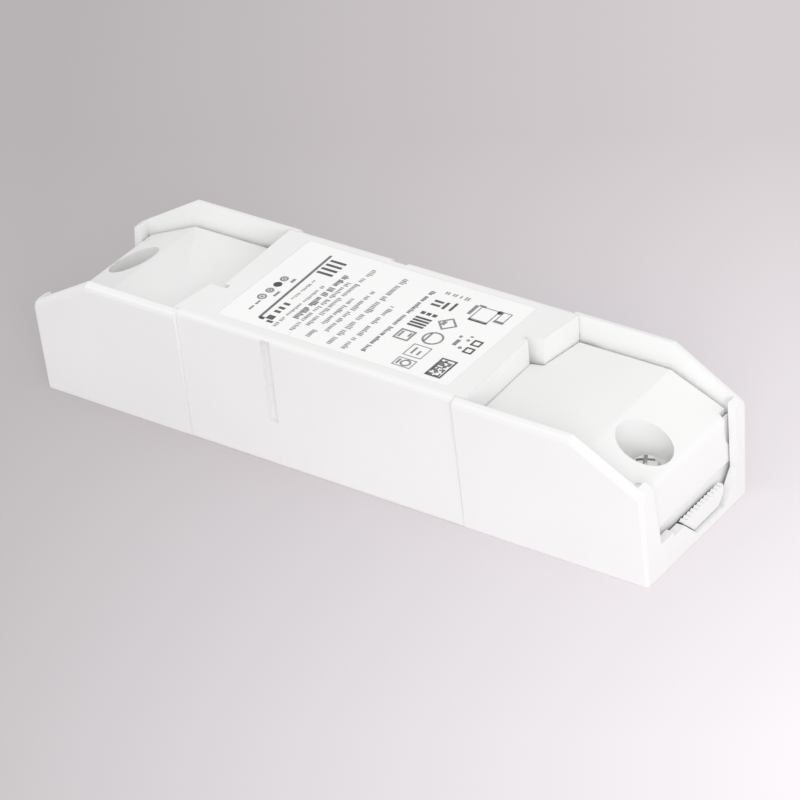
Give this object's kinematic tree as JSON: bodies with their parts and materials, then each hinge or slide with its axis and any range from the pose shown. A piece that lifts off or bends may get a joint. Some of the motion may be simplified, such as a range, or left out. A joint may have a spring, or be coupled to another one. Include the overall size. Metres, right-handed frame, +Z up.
{
  "type": "led driver",
  "caption": "Long white plastic LED driver with sloping ends, sunken terminal covers held by a screw in a round cup, and a label on its raised middle.",
  "frame": {"origin": "middle of the underside of the base, at the bottom centre of the bounding box", "axes": "+X along the driver towards its output end, +Y across it towards the far side in the picture, +Z up from the base"},
  "size_m": [0.15, 0.0398, 0.0308],
  "materials": {
    "white_plastic": "satin moulded white",
    "label_film": "satin white film",
    "screw_steel": "zinc plated",
    "board": "glass fibre with green lacquer",
    "black_mould": "moulded black",
    "ferrite": "sintered grey",
    "copper_wire": "lacquered copper",
    "yellow_tape": "polyester tape",
    "can_sleeve": "shrunk sleeve",
    "film_yellow": "moulded yellow",
    "disc_blue": "dipped blue",
    "disc_green": "dipped dark green",
    "fuse_body": "ceramic tube with plated caps",
    "sink_aluminium": "bare",
    "terminal_plastic": "moulded dark grey",
    "chip_white": "moulded white"
  },
  "bodies": {
    "root": {"housing_base": "white_plastic", "centre_cover": "white_plastic", "label": "label_film", "terminal_cover_left": "white_plastic", "terminal_cover_right": "white_plastic", "cover_screw_left": "screw_steel", "cover_screw_right": "screw_steel", "cord_grip_left": "white_plastic", "cord_grip_right": "white_plastic", "circuit_board": "board", "input_terminal": "terminal_plastic", "input_terminal_screw_1": "screw_steel", "input_terminal_screw_2": "screw_steel", "input_terminal_screw_3": "screw_steel", "output_terminal": "terminal_plastic", "output_terminal_screw_1": "screw_steel", "output_terminal_screw_2": "screw_steel", "fuse": "fuse_body", "thermistor": "disc_green", "varistor": "disc_blue", "x_capacitor": "film_yellow", "choke_core": "ferrite", "choke_winding_a": "copper_wire", "choke_winding_b": "copper_wire", "bridge_rectifier": "black_mould", "input_capacitor": "can_sleeve", "controller_chip": "black_mould", "heatsink": "sink_aluminium", "power_transistor": "black_mould", "transformer_core": "ferrite", "transformer_bobbin": "black_mould", "transformer_winding": "yellow_tape", "y_capacitor": "disc_blue", "optocoupler": "chip_white", "output_diode": "black_mould", "output_choke": "ferrite", "output_capacitor_a": "can_sleeve", "output_capacitor_b": "can_sleeve"}
  },
  "joints": []
}
